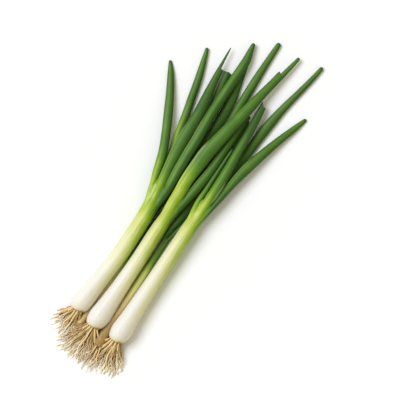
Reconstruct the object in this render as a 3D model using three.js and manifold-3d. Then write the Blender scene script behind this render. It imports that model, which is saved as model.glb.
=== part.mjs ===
// A bunch of spring onions lying on a table: three full onions, and two thin ones half hidden between them.
//
// Frame, in millimetres: +Y runs along the onions from the roots to the leaf tips, +X is to the right seen
// from above with the tips away from you, +Z is up and the table is at z = 0. The points below are measured
// from the base of the middle bulb, and the finished bunch is moved so that its origin is the bottom centre
// of its box.

import * as THREE from "three";
import { mergeVertices } from "three/addons/utils/BufferGeometryUtils.js";
import Module from "manifold-3d";

const manifold = await Module();
manifold.setup();

// Driving dimensions.
const BOX_CENTRE = new THREE.Vector3(-3.29, 130.54, 0);
const NECK_GAP = 0.3;
const PLATE_GAP = 0.3;
const PLATE_DEPTH = 3.2;
const PLATE_RIM = 0.4;
const PLATE_SIDES = 12;
const ROOT_RADIUS = 0.62;
const ROOT_TAPER = 0.35;
const ROOT_INSET = 0.8;
const ROOT_SUNK = 1.6;
const ROOT_FLOOR = 0.75;
const ROOT_FLOOR_SPREAD = 0.5;
const SHORTEST_ROOT = 0.62;
const OUTER_ROOT_LOSS = 0.2;
const ROOT_KNEE = { aside: 0.3, along: 0.5, down: 0.15 };
const ROOT_SIDES = 4;
const ROOT_STEPS = 5;
const SHANK_SIDES = 18;
const SHANK_STEPS = 17;
const RING_CROWDING = 1.6;
const LEAF_SIDES = 10;
const LEAF_STEP = 14;
const TIP_STEPS = 3;
const TIP_TURN = THREE.MathUtils.degToRad(75);
const STEEPEST_LEAN = 0.75;
const TEAR_LENGTH = 1.4;
const STRIP_DROOP = 1.6;
const STRIP_TAPER = [[0, 1], [0.6, 0.9], [1, 0.55]];
const GOLDEN_ANGLE = Math.PI * (3 - Math.sqrt(5));

const SKIN_WHITE = { color: 0xf1eee0, roughness: 0.35, metalness: 0 };
const ROOT_TAN = { color: 0xcdb083, roughness: 0.8, metalness: 0 };
const LEAF_GREEN = { color: 0x4f8038, roughness: 0.5, metalness: 0 };

// Each onion: its axis as points [x, y, z] from the basal plate to the fork, the radii of its plate, bulb
// and shank, how it swells over `round` from the plate and thins over `fade` above the belly, and the half
// width and half height of the neck where the leaves part. `fan` is where its roots reach to, left and
// right, and how long they are. A leaf's path holds rows of [x, y, z, width, height]; the leaf ends round,
// blunt, or torn down to a strip.
const ONIONS = {
  left: {
    axis: [
      [-20.3, 0.5, 8.8], [-19.6, 10, 8.8], [-16.9, 36, 9.2], [-14, 63, 9.6], [-13.4, 90, 10.2],
      [-13.6, 112, 10.8], [-15.4, 135, 11.6],
    ],
    plate: 5.4, bulb: 9.2, shank: 7.1, round: 11, fade: 30, neck: [10.9, 6.2], neckLength: 25,
    fan: { count: 22, left: -37, right: -15.5, length: 30, seed: 11 },
    leaves: {
      outer: {
        path: [
          [-23.6, 135, 12.4, 5.6, 6.4], [-25.9, 146, 12, 6.4, 6.4], [-30.4, 162, 11, 7.6, 6.2],
          [-37, 177, 9.6, 8.4, 6.2], [-45.3, 194, 7.2, 8.4, 5.8], [-54.5, 211.5, 4.6, 7.4, 5],
          [-62.8, 225.5, 2.6, 5.8, 4], [-68.4, 233.6, 1.2, 3.2, 2.8],
        ],
      },
      torn: {
        path: [
          [-17.5, 135, 13.7, 5.6, 6.4], [-19.2, 153, 14, 8.8, 6.8], [-20.9, 171, 13.8, 10.1, 7.2],
          [-21.6, 189, 13.2, 10.2, 7.2], [-22, 207, 12, 9.8, 6.8], [-24, 225, 10, 8.8, 6.2],
          [-26.1, 243, 7.8, 6.6, 4.8], [-26.6, 252.5, 6.8, 6.2, 4.4],
        ],
        torn: { x: -29.1, z: 6.8, width: 1.7, height: 1.3, length: 21 },
      },
      inner: {
        path: [
          [-9.2, 135, 13.6, 8.2, 6.8], [-9.6, 153, 13.8, 7.8, 6.8], [-10.3, 171, 13.6, 9, 7.2],
          [-10.5, 189, 13.2, 9.2, 7.2], [-11.7, 216, 11.6, 9, 7], [-11.5, 252, 8.4, 8.6, 6],
          [-11.3, 270, 6.2, 8, 5.4], [-12.6, 279, 5.2, 6, 4.6], [-13.6, 286, 4.6, 4, 3.6],
        ],
      },
      low: {
        path: [
          [-18, 135, 8.1, 5, 4.4], [-21.4, 152, 5.2, 6, 4.8], [-25.2, 170, 3.2, 6.6, 4.8],
          [-28.6, 187, 2.6, 6.8, 5], [-31.8, 203, 2.7, 7, 5], [-35.3, 218, 2.7, 7, 5.2],
          [-38.7, 233, 2.7, 6.7, 5], [-42.6, 247, 2.5, 5.6, 4.4], [-46.7, 260.6, 2.2, 3.4, 3.2],
        ],
      },
      blunt: {
        path: [
          [-10.8, 135, 8.1, 5.4, 4.4], [-11.3, 153, 5.4, 7, 4.8], [-12.1, 171, 3.2, 8, 5],
          [-12.6, 198, 2.6, 8, 5.2], [-14.8, 220, 2.7, 8, 5.2], [-17.4, 236, 2.7, 7.8, 5],
          [-19.8, 253.5, 2.6, 6.8, 4.6],
        ],
        blunt: true,
      },
    },
  },
  middle: {
    axis: [
      [0, -4.5, 9.5], [0.8, 8.5, 9.5], [2, 36, 9.8], [2.9, 70, 10.3], [2.9, 99, 11.2], [4.7, 135, 12.2],
    ],
    plate: 5.4, bulb: 9.9, shank: 6.5, round: 13, fade: 30, neck: [8.7, 6.9], neckLength: 30,
    fan: { count: 24, left: -23, right: 9.6, length: 39, seed: 23 },
    leaves: {
      main: {
        path: [
          [0.6, 135, 14.6, 9, 7], [0.5, 153, 15.2, 9.6, 7.6], [1.6, 167, 15.5, 11, 7.8],
          [3.5, 182, 15.6, 12.8, 7.8], [6.2, 198, 15.4, 11.8, 7.6], [9.2, 214, 14.8, 11.2, 7.2],
          [13.1, 234, 12.8, 10.2, 6.6], [16.4, 252, 9.8, 8.2, 5.8], [20.2, 268, 7.6, 7.2, 5],
          [21.6, 276, 6.8, 7.4, 4.6],
        ],
        torn: { x: 23.8, z: 6.4, width: 4.8, height: 3.8, length: 23, lean: 4 },
      },
      side: {
        path: [
          [10.1, 135, 12.4, 6.5, 6.2], [13.4, 153, 12, 7.8, 6.2], [14.8, 171, 10.8, 7.6, 6],
          [15.2, 189, 9.4, 7.4, 5.6], [16, 207, 8.2, 6.8, 4.8], [17.1, 220.5, 7.6, 5, 3.8],
          [18.2, 229, 7.3, 2.8, 2.6],
        ],
      },
    },
  },
  tucked: {
    axis: [
      [-10.8, -12, 3.6], [-10.8, -7, 3.9], [-10.6, -2, 3.3], [-10.2, 3, 2.6], [-9.5, 12, 2.45],
      [-8.3, 27, 2.7], [-7.2, 43, 2.9], [-6.4, 63, 3], [-5.9, 80, 3], [-5.6, 95, 3],
    ],
    plate: 2.6, bulb: 3.8, shank: 2.4, round: 5, fade: 3.5, neck: [2.9, 2.7], neckLength: 60,
    fan: { count: 6, left: -13, right: -9.5, length: 13, seed: 71 },
    leaves: {
      low: {
        path: [
          [-7.05, 95, 3, 2.6, 4.6], [-7.2, 106, 2.8, 3.4, 4.2], [-6.4, 120, 2.4, 4.4, 4.2],
          [-4.9, 138, 2.4, 5.2, 4.2], [-3.4, 157, 2.4, 5.8, 4.4], [-2.9, 180, 2.9, 7, 4.8],
          [-2.7, 198, 2.6, 7.4, 5], [-2, 216, 2.6, 8.4, 5.2], [-3.6, 234, 2.6, 8.4, 5.2],
          [-5.3, 245.5, 2.5, 7, 4.8], [-7.4, 259, 2.3, 4.8, 3.8], [-8.3, 267, 2.1, 3, 2.8],
        ],
      },
      under: {
        path: [
          [-4.15, 95, 3, 2.6, 4.6], [-3.4, 106, 2.8, 3.4, 4.2], [-1, 120, 2.4, 4.6, 4.2],
          [2.6, 138, 2.3, 5.4, 4.2], [5.6, 157, 2.4, 6.2, 4.4], [7.3, 180, 2.9, 7.2, 4.8],
          [7.9, 198, 2.6, 7.4, 5], [6.7, 216, 2.6, 7.4, 5.2], [5.7, 234, 2.6, 7.6, 5.2],
          [5.2, 252, 2.6, 7.6, 5], [5, 270, 2.5, 6.6, 4.6], [5.2, 288, 2.4, 5.4, 4.2],
          [5.4, 298.2, 2.3, 4.6, 3.8],
        ],
      },
    },
  },
  right: {
    axis: [
      [24.2, -4.5, 9.3], [24.5, 8.5, 9.3], [24.6, 36, 9.7], [25.1, 70, 10.6], [25.7, 105, 11.8],
      [26.8, 141, 12.8],
    ],
    plate: 5.4, bulb: 9.7, shank: 6.7, round: 13, fade: 27, neck: [8.4, 6.6], neckLength: 26,
    fan: { count: 24, left: 15.7, right: 43, length: 36, seed: 37 },
    leaves: {
      slim: {
        path: [
          [20.6, 141, 12.4, 3.9, 4.6], [20.6, 152, 11.8, 4.2, 4.6], [20.5, 162, 10.8, 4.2, 4.4],
          [20.7, 180, 9.2, 4, 4], [21, 196, 8.2, 2.6, 2.8],
        ],
      },
      cut: {
        path: [
          [27, 141, 13.4, 7.6, 7], [27.3, 162, 13.8, 7.8, 7.2], [27, 180, 13.6, 8, 7.2],
          [26.5, 193.5, 13, 8, 7], [25.7, 216, 11.4, 8, 6.6], [25, 225, 10.2, 7.6, 6.2],
          [24.1, 234, 8.8, 7.2, 5.6], [23.3, 244.5, 7.4, 6, 4.8],
        ],
        blunt: true,
      },
      outer: {
        path: [
          [33.2, 141, 12.6, 3.8, 6], [35.4, 153, 12.2, 4.8, 6.4], [37.8, 171, 11.4, 7, 6.6],
          [41.2, 189, 10, 9, 6.6], [45.9, 207, 7.6, 8.6, 6.2], [51.6, 225, 5.2, 7.2, 5.4],
          [58, 243, 2.8, 5.6, 4.4], [61.8, 254, 1.3, 3.4, 3],
        ],
      },
    },
  },
  thin: {
    axis: [
      [13.4, -16.5, 5], [13.3, -10, 5], [12.9, -1, 3.8], [12.8, 8, 3.3], [13.4, 30, 3.3], [14, 60, 3.4],
      [14.2, 95, 3.5],
    ],
    plate: 3.4, bulb: 5.2, shank: 3.35, round: 6.5, fade: 5, neck: [3.5, 3.4], neckLength: 40,
    fan: { count: 8, left: 11.2, right: 14.2, length: 22, seed: 53 },
    leaves: {
      short: {
        path: [
          [12.4, 95, 3.8, 3.1, 5.6], [12.4, 104, 4.2, 4.6, 5.4], [14.4, 117, 4.3, 6.6, 5.2],
          [16.2, 135, 3.4, 7.2, 5.2], [18, 162, 2.8, 7.6, 5], [19.8, 189, 2.6, 7.4, 5],
          [20, 211, 2.5, 6.4, 4.8], [19.4, 225, 2.3, 3.4, 3.4],
        ],
      },
      long: {
        path: [
          [15.8, 95, 3.2, 2.9, 4.6], [17.3, 104, 2.4, 4, 4.2], [20.7, 117, 2, 6, 3.9],
          [24.8, 135, 2, 7.6, 3.9], [29.2, 162, 2.2, 8.4, 4.4], [33.1, 189, 2.6, 8.4, 5],
          [34.9, 216, 2.7, 9.2, 5.4], [36.9, 234, 2.7, 9, 5.4], [39.6, 252, 2.6, 7.2, 5],
          [43.4, 270, 2.5, 5.8, 4.4], [47.3, 288, 2.4, 4.8, 4.2], [49.2, 301, 2.3, 3.8, 3.6],
        ],
      },
    },
  },
};

/** A repeatable random number source in 0..1. */
function seeded(seed) {
  let state = seed;
  return () => {
    state = (state * 16807) % 2147483647;
    return state / 2147483647;
  };
}

/** A smooth curve through rows of numbers, read at 0..1 along the rows. */
function smoothRows(rows, at) {
  const last = rows.length - 1;
  const place = Math.min(Math.max(at, 0), 1) * last;
  const first = Math.min(Math.floor(place), last - 1);
  const t = place - first;
  const before = rows[Math.max(first - 1, 0)];
  const after = rows[Math.min(first + 2, last)];
  return rows[first].map((start, i) => {
    const end = rows[first + 1][i];
    const slopeIn = (end - before[i]) / 2;
    const slopeOut = (after[i] - start) / 2;
    const hermite = (2 * t - 3) * t * t;
    return (hermite + 1) * start - hermite * end
      + ((t - 2) * t + 1) * t * slopeIn + (t - 1) * t * t * slopeOut;
  });
}

/** A closed skin over rings with equal numbers of points, with a flat fan over each end. */
function skin(rings) {
  const sides = rings[0].length;
  const positions = rings.flat().flatMap((point) => point.toArray());
  const index = [];
  for (let ring = 0; ring < rings.length - 1; ring += 1) {
    for (let side = 0; side < sides; side += 1) {
      const a = ring * sides + side;
      const b = ring * sides + ((side + 1) % sides);
      index.push(a, b, b + sides, a, b + sides, a + sides);
    }
  }
  const lastRing = (rings.length - 1) * sides;
  for (const [start, flip] of [[0, false], [lastRing, true]]) {
    const middle = positions.length / 3;
    const centre = new THREE.Vector3();
    rings[start === 0 ? 0 : rings.length - 1].forEach((point) => centre.add(point));
    positions.push(...centre.divideScalar(sides).toArray());
    for (let side = 0; side < sides; side += 1) {
      const a = start + side;
      const b = start + ((side + 1) % sides);
      index.push(middle, flip ? a : b, flip ? b : a);
    }
  }
  const geometry = new THREE.BufferGeometry();
  geometry.setAttribute("position", new THREE.Float32BufferAttribute(positions, 3));
  geometry.setIndex(index);
  geometry.computeVertexNormals();
  return geometry;
}

/** An oval ring across a heading that leans by `lean` from +Y, pressed flat where it meets the table. */
function ovalRing(centre, lean, halfWidth, halfHeight, sides) {
  const across = new THREE.Vector3(-1, lean, 0).normalize();
  const points = [];
  for (let side = 0; side < sides; side += 1) {
    const angle = (2 * Math.PI * (side + 0.5)) / sides - Math.PI / 2;
    const point = centre.clone().addScaledVector(across, halfWidth * Math.cos(angle));
    point.z = Math.max(point.z + halfHeight * Math.sin(angle), 0);
    points.push(point);
  }
  return points;
}

/** The radius of an onion at a distance from its basal plate. */
function onionRadius({ plate, bulb, shank, round, fade }, distance) {
  const body = shank + (bulb - shank) * Math.exp(-Math.max(distance - round, 0) / fade);
  const rise = Math.min(distance / round, 1);
  return plate + (body - plate) * Math.sqrt(1 - (1 - rise) ** 2);
}

/** The bulb and shank of an onion, from its basal plate to the fork of its leaves. */
function shankGeometry(onion) {
  const points = onion.axis.map((point) => new THREE.Vector3(...point));
  const axis = new THREE.CatmullRomCurve3(points, false, "centripetal");
  const length = axis.getLength();
  const rings = [];
  for (let step = 0; step <= SHANK_STEPS; step += 1) {
    const along = (step / SHANK_STEPS) ** RING_CROWDING;
    const distance = along * length;
    const radius = onionRadius(onion, distance);
    const neck = THREE.MathUtils.smoothstep(distance, length - onion.neckLength, length);
    const halfWidth = THREE.MathUtils.lerp(radius, onion.neck[0], neck);
    const halfHeight = THREE.MathUtils.lerp(radius, onion.neck[1], neck);
    rings.push(ovalRing(axis.getPointAt(along), 0, halfWidth, halfHeight, SHANK_SIDES));
  }
  return skin(rings);
}

/** The last stretch of a leaf: a torn strip that goes on past the blade, or a round end. */
function tipStations(leaf, previous, end) {
  const [x, y, z, halfWidth, halfHeight] = end;
  if (leaf.torn) {
    const strip = leaf.torn;
    return STRIP_TAPER.map(([along, size]) => [
      strip.x + (strip.lean ?? 0) * along,
      y + TEAR_LENGTH + (strip.length - TEAR_LENGTH) * along,
      strip.z - STRIP_DROOP * along,
      (strip.width / 2) * size,
      (strip.height / 2) * size,
    ]);
  }
  if (leaf.blunt) return [];
  const lean = (x - previous[0]) / (y - previous[1]);
  const stations = [];
  for (let step = 1; step <= TIP_STEPS; step += 1) {
    const turn = (step / TIP_STEPS) * TIP_TURN;
    const ahead = halfWidth * Math.sin(turn);
    const size = Math.cos(turn);
    stations.push([x + lean * ahead, y + ahead, z, halfWidth * size, halfHeight * size]);
  }
  return stations;
}

/** A leaf: an oval tube that widens from the fork and closes to a round, a blunt or a torn end. */
function leafGeometry(leaf) {
  const rows = leaf.path.map(([x, y, z, width, height]) => [x, y, z, width / 2, height / 2]);
  rows[0][1] += NECK_GAP;
  const [previous, end] = rows.slice(-2);
  const steps = Math.max(Math.round((end[1] - rows[0][1]) / LEAF_STEP), rows.length);
  const stations = [];
  for (let step = 0; step <= steps; step += 1) stations.push(smoothRows(rows, step / steps));
  stations.push(...tipStations(leaf, previous, end));
  const rings = stations.map(([x, y, z, halfWidth, halfHeight], i) => {
    const before = stations[Math.max(i - 1, 0)];
    const after = stations[Math.min(i + 1, stations.length - 1)];
    const slope = (after[0] - before[0]) / (after[1] - before[1]);
    const lean = i === 0 ? 0 : THREE.MathUtils.clamp(slope, -STEEPEST_LEAN, STEEPEST_LEAN);
    return ovalRing(new THREE.Vector3(x, y, z), lean, halfWidth, halfHeight, LEAF_SIDES);
  });
  return skin(rings);
}

/** A solid for joining, from a closed geometry. */
function solid(geometry) {
  const bare = geometry.clone();
  bare.deleteAttribute("normal");
  bare.deleteAttribute("uv");
  const merged = mergeVertices(bare);
  return new manifold.Manifold(new manifold.Mesh({
    numProp: 3,
    vertProperties: Float32Array.from(merged.attributes.position.array),
    triVerts: Uint32Array.from(merged.index.array),
  }));
}

/** The geometry of a joined solid. */
function geometryOf(joined) {
  const mesh = joined.getMesh();
  const geometry = new THREE.BufferGeometry();
  geometry.setAttribute("position", new THREE.Float32BufferAttribute(mesh.vertProperties, 3));
  geometry.setIndex(Array.from(mesh.triVerts));
  geometry.computeVertexNormals();
  return geometry;
}

/** One root: a thin square tube along a bend, thinning to its tip. */
function rootGeometry(start, knee, end) {
  const curve = new THREE.QuadraticBezierCurve3(start, knee, end);
  const rings = [];
  for (let step = 0; step <= ROOT_STEPS; step += 1) {
    const along = step / ROOT_STEPS;
    const ahead = curve.getTangentAt(along);
    const side = new THREE.Vector3(-ahead.y, ahead.x, 0).normalize();
    const up = new THREE.Vector3().crossVectors(ahead, side);
    const radius = ROOT_RADIUS * (1 - ROOT_TAPER * along);
    const ring = [];
    for (let corner = 0; corner < ROOT_SIDES; corner += 1) {
      const angle = (2 * Math.PI * corner) / ROOT_SIDES;
      ring.push(curve.getPointAt(along)
        .addScaledVector(side, radius * Math.cos(angle))
        .addScaledVector(up, radius * Math.sin(angle)));
    }
    rings.push(ring);
  }
  return skin(rings);
}

/** A basal plate with its roots fanned out over the table, joined into one solid. */
function rootTuftGeometry(onion) {
  const { count, left, right, length, seed } = onion.fan;
  const random = seeded(seed);
  const base = new THREE.Vector3(...onion.axis[0]);
  const rim = onion.plate - PLATE_RIM;
  const profile = [
    new THREE.Vector2(0, -PLATE_DEPTH),
    new THREE.Vector2(rim / 2, -PLATE_DEPTH),
    new THREE.Vector2(rim, -PLATE_DEPTH / 2),
    new THREE.Vector2(rim, -PLATE_GAP),
    new THREE.Vector2(0, -PLATE_GAP),
  ];
  const plate = new THREE.LatheGeometry(profile, PLATE_SIDES);
  plate.translate(base.x, base.y, base.z);
  let tuft = solid(plate);
  for (let k = 0; k < count; k += 1) {
    const reach = Math.sqrt((k + 0.5) / count);
    const turn = k * GOLDEN_ANGLE;
    const aside = reach * Math.cos(turn);
    const start = new THREE.Vector3(
      base.x + aside * (rim - ROOT_INSET),
      base.y - PLATE_DEPTH + ROOT_SUNK,
      base.z + reach * Math.sin(turn) * (rim - ROOT_INSET),
    );
    const size = THREE.MathUtils.lerp(SHORTEST_ROOT, 1, random());
    const run = length * size * (1 - OUTER_ROOT_LOSS * Math.abs(aside));
    const spread = THREE.MathUtils.lerp(left, right, (1 + aside) / 2);
    const end = new THREE.Vector3(spread, base.y - run, ROOT_FLOOR + ROOT_FLOOR_SPREAD * random());
    const knee = new THREE.Vector3(
      THREE.MathUtils.lerp(start.x, end.x, ROOT_KNEE.aside),
      THREE.MathUtils.lerp(base.y, end.y, ROOT_KNEE.along),
      THREE.MathUtils.lerp(start.z, end.z, ROOT_KNEE.down),
    );
    tuft = tuft.add(solid(rootGeometry(start, knee, end)));
  }
  return geometryOf(tuft);
}

/** A named piece with a finish of its own. */
function piece(name, geometry, finish) {
  const mesh = new THREE.Mesh(geometry, new THREE.MeshStandardMaterial(finish));
  mesh.name = name;
  return mesh;
}

/** One onion: its roots, its bulb with the shank, and its leaves. */
function onionGroup(name, onion) {
  const group = new THREE.Group();
  group.add(piece(`roots_${name}`, rootTuftGeometry(onion), ROOT_TAN));
  group.add(piece(`shank_${name}`, shankGeometry(onion), SKIN_WHITE));
  for (const [leafName, leaf] of Object.entries(onion.leaves)) {
    group.add(piece(`leaf_${name}_${leafName}`, leafGeometry(leaf), LEAF_GREEN));
  }
  return group;
}

const bunch = new THREE.Group();
for (const [name, onion] of Object.entries(ONIONS)) bunch.add(onionGroup(name, onion));
bunch.position.copy(BOX_CENTRE).negate();

export default bunch;
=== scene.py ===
"""Looks of a bunch of five spring onions: rooted white bulbs, pale shanks and hollow green leaves.

Points and sizes are in millimetres in the bunch's own measure: y from the left bulb's base towards the leaf
tips, x to the right and z up from the table. place() turns them into metres in the frame.
"""

import logging
import math
import random
from dataclasses import dataclass
from enum import Enum
from typing import Any

import bpy
import numpy as np
from bpy.types import Material, NodeSocket, NodeTree, Object
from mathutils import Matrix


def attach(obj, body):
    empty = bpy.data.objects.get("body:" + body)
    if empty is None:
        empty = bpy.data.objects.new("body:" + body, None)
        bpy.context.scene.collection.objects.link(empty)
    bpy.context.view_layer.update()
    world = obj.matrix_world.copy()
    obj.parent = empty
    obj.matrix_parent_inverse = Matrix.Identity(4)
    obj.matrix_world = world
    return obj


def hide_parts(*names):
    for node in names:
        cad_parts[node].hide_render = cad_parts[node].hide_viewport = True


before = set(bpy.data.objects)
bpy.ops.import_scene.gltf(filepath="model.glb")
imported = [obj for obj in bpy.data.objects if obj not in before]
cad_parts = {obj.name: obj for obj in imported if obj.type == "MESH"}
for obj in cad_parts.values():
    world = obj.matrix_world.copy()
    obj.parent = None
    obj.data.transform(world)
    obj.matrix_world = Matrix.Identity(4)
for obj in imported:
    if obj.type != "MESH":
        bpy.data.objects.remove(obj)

log = logging.getLogger("spring_onions")

MM = 0.001
BOX_CENTRE = (-3.29, 130.54, 0.0)
BODY = "root"

# How finely skins are rolled: sides round them, and steps along them, in millimetres or in number.
SUBDIVISION = 1
LEAF_SIDES = 48
LEAF_STEP = 3.4
SLIVER_SIDES = 12
SLIVER_STEPS = 14
STOUT_BULB = 6.0
STOUT_SIDES = 96
THIN_SIDES = 64
SHANK_STEP = 1.9
PLATE_SIDES = 24
ROOT_SIDES = 6
ROOT_STEPS = 26

# Veins: their width and length, and the radius of the even round skin that they are drawn on.
VEIN_WIDTH = 1.0
VEIN_LENGTH = 26.0
GRAIN_RADIUS = 6.0

# How many waves go round a leaf, a cut rim and a bulb, which has fine ones and slow ones.
LEAF_WAVES = (5, 8, 11)
RIM_WAVES = (3, 7, 12)
BULB_WAVES = (9, 14, 21)
BULB_SWELLS = (2, 3)

# How a leaf starts inside its shank: depth, share of its way out from the axis, and size.
TUCK = ((34.0, 0.22, 0.5), (15.0, 0.7, 0.84))
STEEPEST_LEAN = 0.75

Array = np.ndarray
Rows = tuple[tuple[float, ...], ...]
Stops = tuple[tuple[float, float], ...]


# ---- measures


def place(points: Array) -> Array:
    """Turns x, y, z rows in bunch millimetres into metres in the frame."""
    return (np.asarray(points, float) - BOX_CENTRE) * MM


def smooth_rows(rows: Array, at: Array) -> Array:
    """Reads a smooth curve through rows of numbers.

    Args:
        rows: One row of numbers for each control point.
        at: Places along the rows, from 0 to 1.

    Returns:
        One row of numbers for each place.
    """
    last = len(rows) - 1
    where = np.clip(at, 0, 1) * last
    first = np.minimum(where.astype(int), last - 1)
    t = (where - first)[:, None]
    start, end = rows[first], rows[first + 1]
    slope_in = (end - rows[np.maximum(first - 1, 0)]) / 2
    slope_out = (rows[np.minimum(first + 2, last)] - start) / 2
    hermite = (2 * t - 3) * t * t
    bend = ((t - 2) * t + 1) * t * slope_in + (t - 1) * t * t * slope_out
    return (hermite + 1) * start - hermite * end + bend


def read_stops(stops: Stops, y: Array) -> Array:
    """Returns the value at each y, between stops that each give a y and its value."""
    return np.interp(y, *np.array(stops).T)


def ease(value: Array, low: float, high: float) -> Array:
    """Returns a smooth step from 0 at low to 1 at high."""
    t = np.clip((value - low) / (high - low), 0, 1)
    return t * t * (3 - 2 * t)


def ripple(angle: Array, seed: int, waves: tuple[int, ...]) -> Array:
    """Returns an uneven wave round a ring, between about -1 and 1.

    Args:
        angle: Angles round the ring, in radians.
        seed: Chooses the waves' phases.
        waves: How many times each wave goes round.
    """
    source = random.Random(seed)
    total = sum(math.sqrt(1 / w) * np.cos(w * angle + source.uniform(0, math.tau)) for w in waves)
    return total / sum(math.sqrt(1 / w) for w in waves)


def linear(colour: str) -> tuple[float, float, float, float]:
    """Turns an sRGB hex colour into a linear one with full alpha."""
    channels = [int(colour[i:i + 2], 16) / 255 for i in (1, 3, 5)]
    return (*(c / 12.92 if c <= 0.04045 else ((c + 0.055) / 1.055) ** 2.4 for c in channels), 1.0)


# ---- finishes


def add_node(tree: NodeTree, kind: str, settings: dict[Any, Any] | None = None,
             links: dict[Any, NodeSocket] | None = None, output: str | int = 0) -> NodeSocket:
    """Adds one shader node with its settings and links.

    Args:
        tree: The material's node tree.
        kind: The node type, without the ShaderNode that its name starts with.
        settings: Node properties, or input values by socket name or number.
        links: What each input reads, by socket name or number.
        output: The output that is wanted, by name or number.

    Returns:
        That output of the new node.
    """
    node = tree.nodes.new(f"ShaderNode{kind}")
    for key, value in (settings or {}).items():
        if isinstance(key, str) and hasattr(node, key):
            setattr(node, key, value)
        else:
            node.inputs[key].default_value = value
    for key, source in (links or {}).items():
        tree.links.new(source, node.inputs[key])
    return node.outputs[output]


def colour_ramp(tree: NodeTree, stops: tuple[tuple[float, str], ...], source: NodeSocket) -> NodeSocket:
    """Adds a colour ramp whose stops are sRGB hex colours and returns its colour."""
    colour = add_node(tree, "ValToRGB", links={"Fac": source}, output="Color")
    points = colour.node.color_ramp.elements
    while len(points) < len(stops):
        points.new(0.5)
    for point, (position, shade) in zip(points, stops):
        point.position = position
        point.color = linear(shade)
    return colour


def new_material(name: str) -> tuple[Material, NodeTree]:
    """Makes an empty node material and returns it with its node tree."""
    material = bpy.data.materials.new(name)
    material.use_nodes = True
    material.node_tree.nodes.clear()
    return material, material.node_tree


def add_surface(tree: NodeTree, settings: dict[str, Any], links: dict[str, NodeSocket] | None = None) -> None:
    """Adds a material's shader and shows it on the surface.

    Args:
        tree: The material's node tree.
        settings: The shader's constant values by socket name.
        links: What its other sockets read.
    """
    shader = add_node(tree, "BsdfPrincipled", settings, links)
    surface = tree.nodes.new("ShaderNodeOutputMaterial").inputs["Surface"]
    tree.links.new(shader, surface)


# Ripeness runs from 0, white flesh, to 1, a grown green blade, and on to the darkest green, reached mostly
# where painted shade on the side away from the light is added.
RIPENESS_SCALE = 0.8
SKIN_STOPS = (
    (0.0, "#e1ded7"), (0.096, "#e0ddcb"), (0.2, "#dbdaaf"), (0.304, "#cfd18e"), (0.384, "#bfc96c"),
    (0.464, "#a8bb43"), (0.544, "#8eab2a"), (0.64, "#70961b"), (0.72, "#5d851c"), (0.8, "#4c761a"),
    (1.0, "#325717"),
)
# Tan colours for dried skin, and for the painted shade laid on shank sides away from the light.
HUSK_AND_SHADE_STOPS = ((0.5, "#dcc48a"), (0.78, "#c6a86a"), (1.0, "#a3844c"))


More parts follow.
